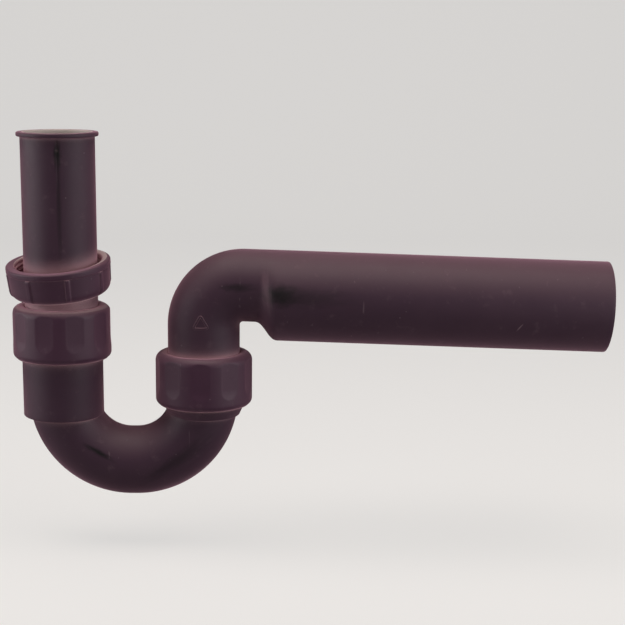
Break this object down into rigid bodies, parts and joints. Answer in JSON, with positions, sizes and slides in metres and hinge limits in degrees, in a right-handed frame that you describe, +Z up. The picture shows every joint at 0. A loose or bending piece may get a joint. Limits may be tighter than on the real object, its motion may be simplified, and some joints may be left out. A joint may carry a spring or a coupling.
{
  "type": "tubular plastic p-trap",
  "caption": "Tubular P-trap for a waste or condensate pipe: tail tube with union nut, U-bend with a clamp joint on each arm, and an elbow that widens into a long plain outlet pipe.",
  "frame": {"origin": "centre of the tail tube's top face, where it meets the waste outlet", "axes": "+Z up along the tail tube, +X towards the outlet, so the U-bend and the outlet pipe lie in the XZ plane"},
  "size_m": [0.3319, 0.0578, 0.2022],
  "materials": {
    "pipe_plastic": "satin injection-moulded polypropylene, dusky mauve",
    "nut_plastic": "satin injection-moulded polypropylene, dusky mauve",
    "ring_plastic": "plain moulded polyethylene",
    "seal_rubber": "moulded black rubber"
  },
  "bodies": {
    "inlet_tube": {"inlet_tube": "pipe_plastic"},
    "inlet_seal": {"inlet_seal": "seal_rubber"},
    "u_bend": {"u_bend": "pipe_plastic"},
    "inlet_slip_ring": {"inlet_slip_ring": "ring_plastic"},
    "inlet_clamp_nut": {"inlet_clamp_nut": "nut_plastic"},
    "union_nut": {"union_nut": "nut_plastic"},
    "outlet_seal": {"outlet_seal": "seal_rubber"},
    "outlet_elbow": {"outlet_elbow": "pipe_plastic"},
    "outlet_slip_ring": {"outlet_slip_ring": "ring_plastic"},
    "outlet_clamp_nut": {"outlet_clamp_nut": "nut_plastic"}
  },
  "joints": [
    {"name": "inlet_height", "type": "slide", "parent": "inlet_tube", "child": "inlet_seal", "axis": [0, 0, 1], "range_m": [-0.03, 0]},
    {"name": "inlet_swivel", "type": "hinge", "parent": "inlet_seal", "child": "u_bend", "pos_m": [0, 0, -0.1451], "axis": [0, 0, 1], "continuous": true},
    {"name": "inlet_ring_rise", "type": "slide", "parent": "u_bend", "child": "inlet_slip_ring", "axis": [0, 0, 1], "range_m": [0, 0.0105]},
    {"name": "inlet_nut_turn", "type": "hinge", "parent": "inlet_slip_ring", "child": "inlet_clamp_nut", "pos_m": [0, 0, -0.109], "axis": [0, 0, 1], "range_deg": [0, 1080]},
    {"name": "union_nut_slide", "type": "slide", "parent": "inlet_slip_ring", "child": "union_nut", "axis": [0, 0, 1], "range_m": [-0.0027, 0.052]},
    {"name": "outlet_swivel", "type": "hinge", "parent": "u_bend", "child": "outlet_seal", "pos_m": [0.0788, 0, -0.135], "axis": [0, 0, 1], "range_deg": [-130, 130]},
    {"name": "outlet_height", "type": "slide", "parent": "outlet_seal", "child": "outlet_elbow", "axis": [0, 0, 1], "range_m": [0, 0.008]},
    {"name": "outlet_ring_rise", "type": "slide", "parent": "u_bend", "child": "outlet_slip_ring", "axis": [0, 0, 1], "range_m": [0, 0.0105]},
    {"name": "outlet_nut_turn", "type": "hinge", "parent": "outlet_slip_ring", "child": "outlet_clamp_nut", "pos_m": [0.0788, 0, -0.135], "axis": [0, 0, 1], "range_deg": [0, 1080]}
  ],
  "couplings": [
    {"joint": "inlet_ring_rise", "follows": "inlet_nut_turn", "m_per_rad": 0.000557},
    {"joint": "outlet_ring_rise", "follows": "outlet_nut_turn", "m_per_rad": 0.000557}
  ]
}
